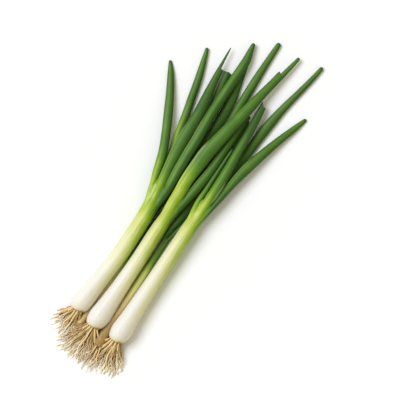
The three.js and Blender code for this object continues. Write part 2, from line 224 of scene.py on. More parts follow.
@dataclass(frozen=True)
class OnionSkin:
    """Living onion skin: white flesh at the bulb, yellow-green shank, green blade with a thin wax.

    The flesh lets light in a little, so it looks soft and moist. The wax makes the blade satin.
    """

    name: str
    vein_depth: float = 0.1
    vein_tint: float = 0.36
    cloud_tint: float = 0.24
    clouds_per_metre: float = 70.0
    white_veins: float = 0.25
    # Painted highlight: this colour paints the pale sheath rims and also the lit left edges of blades and
    # shank.
    margin_and_highlight: str = "#cfdb98"
    glow_depth: float = 5.0
    glow: tuple[float, float] = (0.6, 0.05)
    rough: tuple[float, float] = (0.34, 0.42)
    vein_rough: float = 0.16
    gloss: float = 0.4

    def build(self) -> Material:
        """Builds the material from its ripeness, paleness, tan and grain attributes; the tan stands for dried
        skin and painted shade.
        """
        material, tree = new_material(self.name)
        ripeness, pale, dry_and_shade = (add_node(tree, "Attribute", {"attribute_name": name}, output="Fac")
                               for name in ("ripeness", "pale", "dry_and_shade"))
        veins = self.veins(tree)
        shifted = self.uneven(tree, ripeness, veins)
        spread = add_node(tree, "Math", {"operation": "MULTIPLY", 1: RIPENESS_SCALE}, {0: shifted})
        skin = colour_ramp(tree, SKIN_STOPS, spread)
        edge = add_node(tree, "Mix", {"data_type": "RGBA", 7: linear(self.margin_and_highlight)}, {0: pale, 6: skin}, 2)
        # The tan colours dried skin and also the painted shade on the side away from the light.
        husk_and_shade = colour_ramp(tree, HUSK_AND_SHADE_STOPS, dry_and_shade)
        papery_and_shaded = add_node(tree, "Mix", {"data_type": "RGBA"}, {0: dry_and_shade, 6: edge, 7: husk_and_shade}, 2)
        # White flesh is moist and lets light in; the green blade is duller and closes up.
        glow = self.with_ripeness(tree, ripeness, (0.1, 0.6), self.glow)
        satin = self.with_ripeness(tree, ripeness, (0.0, 0.6), self.rough)
        rough = add_node(tree, "Math", {"operation": "MULTIPLY_ADD", 1: self.vein_rough},
                         {0: veins, 2: satin})
        bump = add_node(tree, "Bump", {"Strength": 0.7, "Distance": self.vein_depth * MM}, {"Height": veins})
        add_surface(tree, {"IOR": 1.42, "Specular IOR Level": self.gloss,
                           "Subsurface Scale": self.glow_depth * MM, "Subsurface Radius": (1.0, 0.85, 0.5)},
                    {"Base Color": papery_and_shaded, "Subsurface Weight": glow, "Roughness": rough, "Normal": bump})
        return material

    def with_ripeness(self, tree: NodeTree, ripeness: NodeSocket, span: tuple[float, float],
                      ends: tuple[float, float]) -> NodeSocket:
        """Adds a value that goes from one end to the other while the ripeness crosses a span."""
        return add_node(tree, "MapRange", {"From Min": span[0], "From Max": span[1], "To Min": ends[0],
                                           "To Max": ends[1]}, {"Value": ripeness})

    def veins(self, tree: NodeTree) -> NodeSocket:
        """Adds noise drawn out along the grain, because veins run the length of the skin."""
        grain = add_node(tree, "Attribute", {"attribute_name": "grain"}, output="Vector")
        along = add_node(tree, "Mapping", {"Scale": (1 / VEIN_WIDTH, 1 / VEIN_LENGTH, 1 / VEIN_WIDTH)},
                         {"Vector": grain})
        return add_node(tree, "TexNoise", {"Scale": 1.0, "Detail": 2.0, "Roughness": 0.6},
                        {"Vector": along}, "Fac")

    def uneven(self, tree: NodeTree, ripeness: NodeSocket, veins: NodeSocket) -> NodeSocket:
        """Shifts the ripeness by veins and soft clouds, less on white flesh than on green skin."""
        here = add_node(tree, "TexCoord", output="Object")
        cloud = add_node(tree, "TexNoise", {"Scale": self.clouds_per_metre, "Detail": 3.0},
                         {"Vector": here}, "Fac")
        vein_shift, cloud_shift = (
            add_node(tree, "Math", {"operation": "MULTIPLY_ADD", 1: tint, 2: -tint / 2}, {0: noise})
            for noise, tint in ((veins, self.vein_tint), (cloud, self.cloud_tint)))
        shifts = add_node(tree, "Math", {"operation": "ADD"}, {0: vein_shift, 1: cloud_shift})
        strength = self.with_ripeness(tree, ripeness, (0.0, 0.5), (self.white_veins, 1.0))
        return add_node(tree, "Math", {"operation": "MULTIPLY_ADD"}, {0: shifts, 1: strength, 2: ripeness})


@dataclass(frozen=True)
class RootFibre:
    """Dried root fibre: matte straw, browner in the heart of the tuft, partly as painted shade, with pale
    thin ends.
    """

    name: str
    # Painted shade: this colour browns the roots low and deep in the tuft, where they shade each other.
    heart: str = "#855821"
    straw: str = "#e7cc95"
    tip: str = "#fef2d6"
    mottle: float = 0.7
    mottles_per_metre: float = 330.0
    fibre_depth: float = 0.15
    glow_depth: float = 0.8

    def build(self) -> Material:
        """Builds the material from the map along each root, its browning with painted shade, and noise in the
        object's place.
        """
        material, tree = new_material(self.name)
        uv = add_node(tree, "UVMap", {"uv_map": "UVMap"})
        age = add_node(tree, "Attribute", {"attribute_name": "age"}, output="Fac")
        length = add_node(tree, "SeparateXYZ", links={"Vector": uv}, output="Y")
        here = add_node(tree, "TexCoord", output="Object")
        cloud = add_node(tree, "TexNoise", {"Scale": self.mottles_per_metre, "Detail": 3.0},
                         {"Vector": here}, "Fac")
        shift = add_node(tree, "Math", {"operation": "MULTIPLY_ADD", 1: self.mottle, 2: -self.mottle / 2},
                         {0: cloud})
        along = add_node(tree, "Math", {"operation": "ADD"}, {0: shift, 1: length})
        fresh = colour_ramp(tree, ((0.0, self.straw), (0.45, self.straw), (0.9, self.tip)), along)
        browned_and_shaded = add_node(tree, "Math", {"operation": "ADD", "use_clamp": True}, {0: shift, 1: age})
        colour = add_node(tree, "Mix", {"data_type": "RGBA", 7: linear(self.heart)},
                          {0: browned_and_shaded, 6: fresh}, 2)
        stretched = add_node(tree, "Mapping", {"Scale": (9.0, 3.0, 1.0)}, {"Vector": uv})
        fibres = add_node(tree, "TexNoise", {"Scale": 1.0, "Detail": 3.0}, {"Vector": stretched}, "Fac")
        bump = add_node(tree, "Bump", {"Strength": 0.7, "Distance": self.fibre_depth * MM},
                        {"Height": fibres})
        add_surface(tree, {"Roughness": 0.75, "IOR": 1.45, "Specular IOR Level": 0.3,
                           "Subsurface Weight": 0.3, "Subsurface Scale": self.glow_depth * MM,
                           "Subsurface Radius": (1.0, 0.8, 0.45)},
                    {"Base Color": colour, "Normal": bump})
        return material


@dataclass(frozen=True)
class PaleBoard:
    """A matte white painted board: a plain surface that takes soft shadows."""

    name: str
    colour: str

    def build(self) -> Material:
        """Builds the plain material."""
        material, tree = new_material(self.name)
        add_surface(tree, {"Base Color": linear(self.colour), "Roughness": 0.9, "Specular IOR Level": 0.1})
        return material


# ---- meshes


@dataclass
class Skin:
    """A closed skin rolled from a grid: rings of points from one pole to the other."""

    points: Array
    marks: dict[str, Array]

    def build(self, name: str, material: Material, levels: int) -> Object:
        """Rolls a grid into the skin, closes its seam and poles and finishes it.

        Args:
            name: The piece's name.
            material: Its finish.
            levels: Subdivision levels.

        Returns:
            The finished object, at the origin.
        """
        rings, sides = self.points.shape[:2]
        bpy.ops.object.select_all(action="DESELECT")
        bpy.ops.mesh.primitive_grid_add(x_subdivisions=sides, y_subdivisions=rings - 1, size=1,
                                        location=(0, 0, 0))
        piece = bpy.context.object
        piece.name = piece.data.name = name
        mesh = piece.data
        flat = np.zeros(len(mesh.vertices) * 3)
        mesh.vertices.foreach_get("co", flat)
        flat = flat.reshape(-1, 3)
        side = np.rint((flat[:, 0] + 0.5) * sides).astype(int) % sides
        ring = np.rint((flat[:, 1] + 0.5) * (rings - 1)).astype(int)
        mesh.vertices.foreach_set("co", place(self.points[ring, side]).ravel())
        for label, values in self.marks.items():
            chosen = values[ring, side].astype(np.float32)
            kind, key = ("FLOAT", "value") if chosen.ndim == 1 else ("FLOAT_VECTOR", "vector")
            mesh.attributes.new(label, kind, "POINT").data.foreach_set(key, chosen.ravel())
        mesh.materials.append(material)
        bpy.ops.object.mode_set(mode="EDIT")
        bpy.ops.mesh.select_all(action="SELECT")
        bpy.ops.mesh.remove_doubles(threshold=1e-6)
        bpy.ops.mesh.normals_make_consistent(inside=False)
        bpy.ops.object.mode_set(mode="OBJECT")
        if levels:
            smooth = piece.modifiers.new("smooth", "SUBSURF")
            smooth.levels = smooth.render_levels = levels
            bpy.ops.object.modifier_apply(modifier=smooth.name)
        bpy.ops.object.shade_smooth()
        return piece


def join(parts: list[Object], name: str) -> Object:
    """Joins parts into one object.

    Args:
        parts: The parts, the first of which takes in the rest.
        name: The joined object's name.

    Returns:
        The joined object.
    """
    bpy.ops.object.select_all(action="DESELECT")
    for part in parts:
        part.select_set(True)
    bpy.context.view_layer.objects.active = parts[0]
    if len(parts) > 1:
        bpy.ops.object.join()
    joined = bpy.context.view_layer.objects.active
    joined.name = joined.data.name = name
    return joined


def round_angles(sides: int) -> Array:
    """Returns the angles of a ring that starts at its underside: 0 is right and a quarter turn is up."""
    return math.tau * np.arange(sides) / sides - math.pi / 2


def away_from_light(across: Array, up: Array) -> Array:
    """Returns how far a skin faces right or down, 0 to 1.5, by the cosine and sine round it."""
    return ease(across, -0.35, 0.85) + 0.5 * ease(-up, -0.2, 0.7)


def grain_at(across: Array, along: Array, up: Array) -> Array:
    """Returns places on an even round skin, by the cosine and sine round it and its y.

    Veins are drawn there, so a leaf keeps their number as it tapers.
    """
    return np.stack(np.broadcast_arrays(GRAIN_RADIUS * across, along, GRAIN_RADIUS * up), axis=-1)


def keep_on_table(points: Array) -> Array:
    """Presses whatever would reach below the table flat on it."""
    points[..., 2] = np.maximum(points[..., 2], 0)
    return points


def own(piece: Object, slot: str, *nodes: str) -> None:
    """Ties a finished piece to the frame and reports it.

    Args:
        piece: The finished piece.
        slot: The record's material slot.
        nodes: The nodes that the piece stands for.
    """
    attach(piece, BODY)
    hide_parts(*nodes)
    log.info("%s: %d faces, %s", piece.name, len(piece.data.polygons), slot)


# ---- leaves

# Painted shade deepens the green at both sides of a blade, once it has left its shank; the green also deepens
# at its very tip.
SIDE_SHADE = 0.16
SIDE_STRETCH = (20.0, 60.0)
TIP_SHADE = 0.3
TIP_STRETCH = (3.2, 0.4)

ROUND_TIP_STEPS = 7
ROUND_TIP_REACH = 1.15
# A stepped tip: shares of the strip's length at its rings, and the torn tooth's rings by share and height.
STRIP_SHARES = (0.0, 0.08, 0.2, 0.4, 0.6, 0.8, 0.92)
STRIP_TAPER = 0.38
STEP_LENGTH = 1.3
TOOTH = ((0.12, 1.2), (0.35, 2.2), (0.7, 0.9))

LEAF_WALL = 0.9
HOLLOW_DEPTH = 11.0
# The rings over an open rim: how far inwards, the share of the ragged edge, and how far past it.
RIM = ((0.0, 0.3, 0.0), (0.0, 0.6, 0.0), (0.0, 0.85, 0.0), (0.06, 1.0, 0.0), (0.45, 1.0, 0.22),
       (LEAF_WALL - 0.1, 1.0, 0.0), (LEAF_WALL, 0.7, 0.0), (LEAF_WALL, 0.35, 0.0), (LEAF_WALL, 0.0, 0.0))
# The rings down the inner wall: share of the hollow's depth, and size.
HOLLOW = ((0.25, 0.97), (0.6, 0.93), (1.0, 0.86))


class LeafEnd(Enum):
    """How a leaf ends."""

    ROUND = "round"
    CUT = "cut"
    STEP = "step"


@dataclass(frozen=True)
class Fold:
    """A lengthwise fold on a skin, with a pale stripe along it: the rim of a sheath on some skins, a painted
    highlight on lit left edges of blades.

    The angle is in degrees round the section: 0 right, 90 up, 180 left. Start and end are y in the bunch.
    """

    angle: float
    start: float
    end: float
    width: float = 16.0
    rise: float = 0.3
    pale: float = 0.0

    def strength(self, y: Array, angle: Array) -> Array:
        """Returns how strong the fold is at each point, from 0 to 1."""
        turn = np.degrees(angle) - self.angle
        turn = (turn + 180) % 360 - 180
        fade = min(8.0, (self.end - self.start) / 3)
        inside = ease(y, self.start, self.start + fade) * (1 - ease(y, self.end - fade, self.end))
        return np.exp(-(turn / self.width) ** 2) * inside


def paleness(folds: tuple[Fold, ...], y: Array, angle: Array) -> Array:
    """Returns how pale folds make a skin at each point."""
    return sum((fold.pale * fold.strength(y, angle) for fold in folds), np.zeros_like(y))


@dataclass(frozen=True)
class Leaf:
    """One hollow leaf: an oval tube that starts inside its shank."""

    name: str
    rows: Rows
    greening: Stops
    end: LeafEnd = LeafEnd.ROUND
    folds: tuple[Fold, ...] = ()
    flank_shade: float = 0.25
    slant: float = 0.0
    crown: float = 0.0
    strip: tuple[float, ...] = ()
    sliver: Rows = ()
    seed: int = 1

    def rooted(self, axis: Array) -> Array:
        """Carries the leaf's rows down inside its shank.

        Args:
            axis: The shank's axis rows.

        Returns:
            Rows of x, y, z, half width and half height.
        """
        rows = np.array(self.rows, float)
        rows[:, 3:] /= 2
        first = rows[0]
        away = first[[0, 2]] - axis_at(axis, first[1])
        below = []
        for depth, share, size in TUCK:
            centre = axis_at(axis, first[1] - depth) + share * away
            below.append([centre[0], first[1] - depth, centre[1], first[3] * size, first[4] * size])
        return np.vstack([below, rows])

    def build(self, onion: str, axis: Array, material: Material) -> None:
        """Builds the leaf, dresses it and ties it to its node.

        Args:
            onion: The onion's name.
            axis: The shank's axis rows.
            material: The leaf finish.
        """
        rows = self.rooted(axis)
        steps = max(int((rows[-1, 1] - rows[0, 1]) / LEAF_STEP), 12)
        body = smooth_rows(rows, np.linspace(0, 1, steps + 1))
        lean = np.gradient(body[:, 0], body[:, 1]).clip(-STEEPEST_LEAN, STEEPEST_LEAN)
        angle = round_angles(LEAF_SIDES)
        rings = [self.ring(station, slope, angle) for station, slope in zip(body, lean)]
        rings.insert(0, rings[0].mean(axis=0, keepdims=True).repeat(LEAF_SIDES, axis=0))
        rings += self.end_rings(body[-1], lean[-1], angle)
        points = keep_on_table(np.array(rings))
        label = f"{onion}_{self.name}"
        parts = [Skin(points, self.marks(points, angle)).build(f"blade_{label}", material, SUBDIVISION)]
        if self.sliver:
            parts.append(self.build_sliver(label, material))
        own(join(parts, f"blade_{label}"), "leaf", f"leaf_{label}")

    def marks(self, points: Array, angle: Array) -> dict[str, Array]:
        """Works out the leaf's marks.

        Args:
            points: The leaf's rings of points.
            angle: Angles round the ring.

        Returns:
            The ripeness with painted shade, the pale margins with painted highlights, the tan and the grain
            at each point.
        """
        y = points[..., 1]
        across, up = np.cos(angle), np.sin(angle)
        side_from, side_to = (self.rows[0][1] + stretch for stretch in SIDE_STRETCH)
        # Painted shade: the green deepens on the side of the blade that faces away from the light.
        shade = self.flank_shade * away_from_light(across, up)
        shade = shade + SIDE_SHADE * np.abs(across) ** 5 * ease(y, side_from, side_to)
        shade += TIP_SHADE * ease(y, y.max() - TIP_STRETCH[0], y.max() - TIP_STRETCH[1])
        return {"ripeness": read_stops(self.greening, y) + shade, "pale": paleness(self.folds, y, angle),
                "dry_and_shade": np.zeros_like(y), "grain": grain_at(across, y, up)}

    def build_sliver(self, label: str, material: Material) -> Object:
        """Builds the thin strip of skin left standing where the leaf tore.

        Args:
            label: The leaf's label.
            material: The leaf finish.

        Returns:
            The strip's object.
        """
        angle = round_angles(SLIVER_SIDES)
        rows = np.array(self.sliver, float) * [1, 1, 1, 0.5, 0.5]
        stations = smooth_rows(rows, np.linspace(0, 1, SLIVER_STEPS + 1))
        rings = [self.ring(station, -0.05, angle, flutes=0.0) for station in stations]
        poles = (rings[0].mean(axis=0, keepdims=True), rings[-1].mean(axis=0, keepdims=True) + [0, 0.3, 0])
        foot, tip = (pole.repeat(SLIVER_SIDES, axis=0) for pole in poles)
        points = np.array([foot, *rings, tip])
        return Skin(points, self.marks(points, angle)).build(f"sliver_{label}", material, SUBDIVISION)

    def ring(self, station: Array, lean: float, angle: Array, size: float = 1.0,
             inset: float = 0.0, ahead: Array | float = 0.0, flutes: float = 0.07) -> Array:
        """Makes one ring of the leaf.

        Args:
            station: x, y, z, half width and half height.
            lean: How far the leaf leans to +x for each step along y.
            angle: Angles round the ring.
            size: Scales the ring.
            inset: Moves the ring inwards, for the inner wall.
            ahead: Moves the ring along the leaf, by one value or one for each angle.
            flutes: How deep the fine lengthwise waves are.

        Returns:
            The ring's points.
        """
        x, y, z, half_width, half_height = station
        # Fine waves grow once the leaf has left its shank.
        grown = ease(y, self.rows[0][1] + 2, self.rows[0][1] + 22)
        waves = flutes * grown * ripple(angle, self.seed, LEAF_WAVES)
        rise = sum((fold.rise * fold.strength(y, angle) for fold in self.folds), waves) - inset
        across = np.array([1.0, -lean, 0.0]) / math.hypot(1, lean)
        heading = np.array([lean, 1.0, 0.0]) / math.hypot(1, lean)
        out = np.maximum(half_width * size + rise, 0) * np.cos(angle)
        up = np.maximum(half_height * size + rise, 0) * np.sin(angle)
        step = np.broadcast_to(ahead, angle.shape)
        middle = np.array([x, y, z])
        return middle + out[:, None] * across + step[:, None] * heading + np.outer(up, [0, 0, 1])

    def end_rings(self, last: Array, lean: float, angle: Array) -> list[Array]:
        """Closes the leaf with its own kind of end.

        Args:
            last: The last station.
            lean: Its lean.
            angle: Angles round the ring.

        Returns:
            The rings from the last station to the closing pole.
        """
        if self.end is LeafEnd.ROUND:
            return self.round_tip(last, lean, angle)
        if self.end is LeafEnd.STEP:
            return self.stepped_tip(last, lean, angle)
        ragged = 0.45 * ripple(angle, self.seed + 3, RIM_WAVES) + 0.25
        edge = ragged + self.slant * last[3] * np.cos(angle) - self.crown * np.cos(angle) ** 2
        return self.hollow_end(last, lean, angle, edge)

    def round_tip(self, last: Array, lean: float, angle: Array) -> list[Array]:
        """Rounds the leaf off to a blunt point."""
        rings = []
        for step in range(1, ROUND_TIP_STEPS + 1):
            turn = step / ROUND_TIP_STEPS * math.pi / 2
            reach = last[3] * ROUND_TIP_REACH * math.sin(turn)
            rings.append(self.ring(last, lean, angle, size=math.cos(turn), ahead=reach,
                                   inset=0.1 * math.sin(turn)))
        return rings

    def stepped_tip(self, last: Array, lean: float, angle: Array) -> list[Array]:
        """Steps down to the narrower part that goes on to the tip, and rounds that off."""
        x, z, width, height, length, drift = self.strip
        stations = []
        for share in STRIP_SHARES:
            size = (1 - STRIP_TAPER * share ** 1.6) / 2
            y = last[1] + STEP_LENGTH + (length - STEP_LENGTH) * share
            stations.append(np.array([x + drift * share, y, z - 1.6 * share, width * size, height * size]))
        tooth = np.maximum(-np.cos(angle), 0) ** 4
        rings = []
        for share, tall in TOOTH:
            mix = last * (1 - share) + stations[0] * share
            mix[1] = last[1] + STEP_LENGTH * share ** 0.5
            rings.append(self.ring(mix, lean, angle, ahead=tall * tooth))
        rings += [self.ring(station, drift / length, angle) for station in stations]
        return rings + self.round_tip(stations[-1], drift / length, angle)

    def hollow_end(self, last: Array, lean: float, angle: Array, edge: Array) -> list[Array]:
        """Ends the leaf in an open rim and carries its inner wall back down.

        Args:
            last: The last station.
            lean: Its lean.
            angle: Angles round the ring.
            edge: How far the rim reaches ahead of the last station at each angle.

        Returns:
            The rings over the rim and down the inner wall.
        """
        rings = [self.ring(last, lean, angle, inset=inset, ahead=edge * share + past)
                 for inset, share, past in RIM]
        rings += [self.ring(last, lean, angle, size=size, inset=LEAF_WALL, ahead=-HOLLOW_DEPTH * depth)
                  for depth, size in HOLLOW]
        rings.append(self.ring(last, lean, angle, size=0.5, inset=LEAF_WALL, ahead=-HOLLOW_DEPTH - 1))
        pole = rings[-1].mean(axis=0, keepdims=True).repeat(len(angle), axis=0)
        return rings + [pole]


def axis_at(axis: Array, y: float) -> Array:
    """Returns the x and z of a shank's axis at a y."""
    dense = smooth_rows(axis, np.linspace(0, 1, 200))
    return np.array([np.interp(y, dense[:, 1], dense[:, 0]), np.interp(y, dense[:, 1], dense[:, 2])])


# ---- onions

# A bulb's rings: their first distances from the basal plate, where the even steps start, how far the skin
# runs on inside the leaves to close, and the shares of the way out at its underside.
FIRST_RINGS = (0.0, 0.15, 0.45, 0.9, 1.5, 2.3, 3.3, 4.5)
EVEN_FROM = 6.0
CLOSING = 5.0
UNDER_SHARES = (0.0, 0.5, 0.86)

# Ovals melt into one section over this distance. The section is found by trying reaches from far to near.
BLEND = 0.55
FARTHEST = 24.0
TRIES = 481

# Stretches before a shank's end, each from the first number of millimetres to the second: its uneven
# roundness stops, its leaves' greens part, its core's green gives way, and its veins turn to the leaves'.
SMOOTHING = (26.0, 12.0)
PARTING = (22.0, 8.0)
CORE_LEAVING = (42.0, 8.0)
GRAIN_TURNING = (46.0, 6.0)

# Where roots leave their plate: the turn from one root to the next, how much farther the hairs are turned,
# how far inside the rim they start, how much wider than high they stand, and how far they stray.
GOLDEN_TURN = math.pi * (3 - math.sqrt(5))
HAIR_TURN = 1.3
ROOT_INSET = 0.7
WIDENING = 1.38
STRAY = 0.16
# A root's way: the shares of its run at which it bends and lies down, how much it narrows to its tip, and
# the radius of plate from which roots have their full thickness.
BEND_AT = 0.36
LIES_AT = 0.62
NARROWING = 0.42
FULL_PLATE = 4.4


@dataclass(frozen=True)
class Fan:
    """A root tuft's spread: the roots in each layer, the widest turns in degrees and the length."""

    top: int
    heart: int
    mat: int
    hairs: int
    left: float
    right: float
    length: float
    seed: int
    brown: float = 0.0


@dataclass(frozen=True)
class Lobe:
    """One oval of a shank's section, with a row of each value for each station.

    It has its middle, half sizes, ripeness, painted shade away from the light, and how much of it is there, 0
    to 1.
    """

    x: Array
    z: Array
    half_width: Array
    half_height: Array
    ripeness: Array
    flank_shade: Array
    here: Array

    def within(self, x: Array, z: Array) -> tuple[Array, Array]:
        """Returns points as shares of the oval's half width and half height."""
        return (x - self.x) / self.half_width, (z - self.z) / self.half_height

    def nearness(self, x: Array, z: Array) -> Array:
        """Returns 1 on the oval's outline, more inside it and less outside, fading over BLEND."""
        across, up = self.within(x, z)
        away = np.sqrt(across ** 2 + up ** 2) - 1
        return np.exp(np.clip(-away * np.minimum(self.half_width, self.half_height) / BLEND, -60, 60))


@dataclass(frozen=True)
class Sections:
    """A shank's sections along its axis, each an outline that its ovals melt into.

    It has the axis point at each station, the angles round a section, and the ovals, the core first.
    """

    centre: Array
    angle: Array
    lobes: list[Lobe]

    def at(self, reach: Array) -> tuple[Array, Array]:
        """Returns the x and z of points by their reach from the axis."""
        return (self.centre[:, :1] + reach * np.cos(self.angle),
                self.centre[:, 2:] + reach * np.sin(self.angle))

    def near_end(self, stretch: tuple[float, float]) -> Array:
        """Returns a smooth step from 0 to 1 over a stretch before the last station."""
        y = self.centre[:, 1:2]
        return ease(y, y[-1] - stretch[0], y[-1] - stretch[1])

    def reach(self) -> Array:
        """Finds how far from the axis the outline reaches at each station and angle."""
        tries = np.linspace(FARTHEST, 0.0, TRIES)
        x, z = self.at(tries[:, None, None])
        total = sum((lobe.here > 0) * lobe.nearness(x, z) for lobe in self.lobes)
        first = np.argmax(total >= 1, axis=0)
        outer = np.maximum(first - 1, 0)
        after, before = (np.take_along_axis(total, index[None], axis=0)[0] for index in (first, outer))
        part = np.clip((1 - before) / np.maximum(after - before, 1e-9), 0, 1)
        return tries[outer] + part * (tries[first] - tries[outer])

    def mixture(self, reach: Array) -> tuple[Array, Array]:
        """Mixes the ovals' ripeness and grain.

        Args:
            reach: The outline's reach at each station and angle.

        Returns:
            The ripeness and the grain there.
        """
        x, z = self.at(reach)
        sharpness = 0.28 + 0.9 * self.near_end(PARTING)
        weights = [lobe.here * lobe.nearness(x, z) ** sharpness for lobe in self.lobes]
        weights[0] = weights[0] * (1 - 0.97 * self.near_end(CORE_LEAVING))
        greens, grains = [], []
        for lobe in self.lobes:
            across, up = lobe.within(x, z)
            size = np.maximum(np.hypot(across, up), 1e-6)
            # Painted shade: each oval's green deepens on its side away from the light.
            greens.append(lobe.ripeness + lobe.flank_shade * away_from_light(across / size, up / size))
            grains.append(grain_at(across / size, self.centre[:, 1:2], up / size))
        ripeness = sum(weight * green for weight, green in zip(weights, greens)) / sum(weights)
        leaves = sum(weight[..., None] * grain for weight, grain in zip(weights[1:], grains[1:]))
        leaves = leaves / (sum(weights[1:]) + 1e-9)[..., None]
        apart = self.near_end(GRAIN_TURNING)[..., None]
        return ripeness, grains[0] * (1 - apart) + leaves * apart


@dataclass(frozen=True)
class Onion:
    """One spring onion: its roots, its bulb with the shank, and its leaves."""

    name: str
    axis_rows: Rows
    plate: float
    bulb: float
    shank: float
    belly: float
    fade: float
    core: tuple[float, float]
    core_z: float
    neck_length: float
    fan: Fan
    leaves: tuple[Leaf, ...]
    greening: Stops
    flank_shade: float = 0.3
    folds: tuple[Fold, ...] = ()
    dryness_and_shade: Stops = ((0, 0.0),)
    seed: int = 1

    @property
    def axis(self) -> Array:
        """The axis as an array of x, y, z rows."""
        return np.array(self.axis_rows, float)

    def radius(self, distance: Array) -> Array:
        """Returns the radius of the bulb and shank at a distance from the basal plate."""
        fading = np.exp(-np.maximum(distance - self.belly, 0) / self.fade)
        body = self.shank + (self.bulb - self.shank) * fading
        rise = np.clip(distance / self.belly, 0, 1)
        return self.plate + (body - self.plate) * np.sqrt(1 - (1 - rise) ** 2)

    def build(self, finishes: dict[str, Material]) -> None:
        """Builds the whole onion.

        Args:
            finishes: The materials by slot.
        """
        self.build_shank(finishes["shank"])
        for leaf in self.leaves:
            leaf.build(self.name, self.axis, finishes["leaf"])
        RootTuft(self).build(finishes["root"])

    def build_shank(self, material: Material) -> None:
        """Builds the bulb and shank, with the leaf bases swelling through its neck."""
        # The axis is walked by its true length, and goes straight on past its end.
        dense = smooth_rows(self.axis, np.linspace(0, 1, 400))
        run = np.concatenate([[0], np.cumsum(np.linalg.norm(np.diff(dense, axis=0), axis=1))])
        length = run[-1]
        end = length + CLOSING
        stations = np.concatenate([FIRST_RINGS, np.arange(EVEN_FROM, end, SHANK_STEP), [end]])
        centre = np.stack([np.interp(stations, run, dense[:, i]) for i in range(3)], axis=1)
        beyond = np.maximum(stations - length, 0)
        centre += beyond[:, None] * (dense[-1] - dense[-8]) / (run[-1] - run[-8])
        angle = round_angles(STOUT_SIDES if self.bulb > STOUT_BULB else THIN_SIDES)
        reach, mix, grain = self.outline(stations, length, centre, angle)
        reach = reach * np.sqrt(np.clip(1 - (beyond / CLOSING) ** 2, 0, 1))[:, None]
        out = np.stack([np.cos(angle), 0 * angle, np.sin(angle)], axis=1)
        points = centre[:, None] + reach[..., None] * out
        base = centre[0] - [0, 0.5, 0]
        bottom = [base + share * (points[0] - base) * [1, 0, 1] + [0, 0.35 * share ** 3, 0]
                  for share in UNDER_SHARES]
        points = keep_on_table(np.concatenate([np.array(bottom), points]))
        mix = np.concatenate([mix[:1].repeat(len(bottom), axis=0), mix])
        under = grain_at(np.cos(angle), base[1], np.sin(angle))
        grain = np.concatenate([under[None] * share for share in UNDER_SHARES] + [grain])
        marks = self.marks(points, angle) | {"ripeness": mix, "grain": grain}
        skin = Skin(points, marks).build(f"bulb_and_shank_{self.name}", material, SUBDIVISION)
        own(skin, "shank", f"shank_{self.name}")

    def marks(self, points: Array, angle: Array) -> dict[str, Array]:
        """Works out where the shank is pale, and where it is tan from dried skin and from painted shade.

        Args:
            points: The shank's rings of points.
            angle: Angles round the section.

        Returns:
            The pale margins with painted highlights, and the tan of dried skin with painted shade, at each
            point.
        """
        y = points[..., 1]
        base = self.axis[0, 1]
        # Skin dries most away from the light low down, and at its base.
        # Painted shade: low down, the side away from the light is tanned; at its base the skin is dried and
        # tan all round, more so on that side.
        turned = away_from_light(np.cos(angle), np.sin(angle))
        dry_and_shade = read_stops(self.dryness_and_shade, y) + 0.3 * turned * (1 - ease(y, 24, 70))
        dry_and_shade += (0.5 + 0.3 * turned) * (1 - ease(y, base, base + 5.5))
        return {"pale": np.clip(paleness(self.folds, y, angle), 0, 1), "dry_and_shade": np.clip(dry_and_shade, 0, 1)}

    def outline(self, stations: Array, length: float, centre: Array,
                angle: Array) -> tuple[Array, Array, Array]:
        """Works out the shank's outline: a round body that parts into its leaves at the neck.

        Args:
            stations: Distances from the basal plate.
            length: The axis length.
            centre: The axis point at each station.
            angle: Angles round the section.

        Returns:
            The reach from the axis, the ripeness and the grain, for each station and angle.
        """
        y = centre[:, 1:2]
        radius = self.radius(np.minimum(stations, length))[:, None]
        neck = ease(stations, length - self.neck_length, length)[:, None]
        sections = Sections(centre, angle, self.lobes(centre, radius, neck))
        uneven = 0.05 * ripple(angle, self.seed, BULB_WAVES)
        uneven = uneven + 0.012 * radius * ripple(angle, self.seed, BULB_SWELLS)
        reach = sections.reach() + uneven * (1 - sections.near_end(SMOOTHING))
        ripeness, grain = sections.mixture(reach)
        return reach + sum(fold.rise * fold.strength(y, angle) for fold in self.folds), ripeness, grain

    def lobes(self, centre: Array, radius: Array, neck: Array) -> list[Lobe]:
        """Lists the ovals that make up each section: the shank's core, and the base of every leaf.

        Args:
            centre: The axis point at each station.
            radius: The round body's radius there.
            neck: How far the body has given way to its leaves there, from 0 to 1.

        Returns:
            The core, and then the leaves.
        """
        y = centre[:, 1:2]
        base_z = centre[:, 2:] + neck * (self.core_z - centre[-1, 2])
        half_width, half_height = (radius * (1 - neck) + half * neck for half in self.core)
        # Painted shade: the core's green deepens on its side away from the light, more so up the shank.
        lobes = [Lobe(centre[:, :1], base_z, half_width, half_height, read_stops(self.greening, y),
                      self.flank_shade * ease(y, 4, 50), np.ones_like(y))]
        for leaf in self.leaves:
            rows = smooth_rows(leaf.rooted(self.axis), np.linspace(0, 1, 300))
            x, z, half_width, half_height = (np.interp(y, rows[:, 1], rows[:, i]) for i in (0, 2, 3, 4))
            # A leaf is a little fuller inside the neck than once it has left it.
            shown = 1.02 - 0.14 * ease(y, leaf.rows[0][1] - 2, leaf.rows[0][1] + 2.5)
            lobes.append(Lobe(x, z, half_width * shown, half_height * shown,
                              read_stops(leaf.greening, y), np.full_like(y, leaf.flank_shade),
                              ease(y, rows[0, 1], rows[0, 1] + 12)))
        return lobes


@dataclass(frozen=True)
class RootKind:
    """How the roots of one layer look: their radii, share of the full length, sway, and browning that is
    partly painted shade for layers that lie low in the tuft.
    """

    radii: tuple[float, float]
    runs: tuple[float, float]
    sway: float
    brown: float


class RootLayer(Enum):
    """The layers of a tuft."""

    TOP = RootKind((0.76, 0.98), (0.6, 0.88), 0.8, -0.4)
    HEART = RootKind((0.52, 0.84), (0.42, 1.04), 1.7, 0.7)
    MAT = RootKind((0.62, 0.9), (0.4, 0.94), 1.9, 0.5)
    HAIR = RootKind((0.22, 0.36), (0.7, 1.1), 2.0, -0.1)


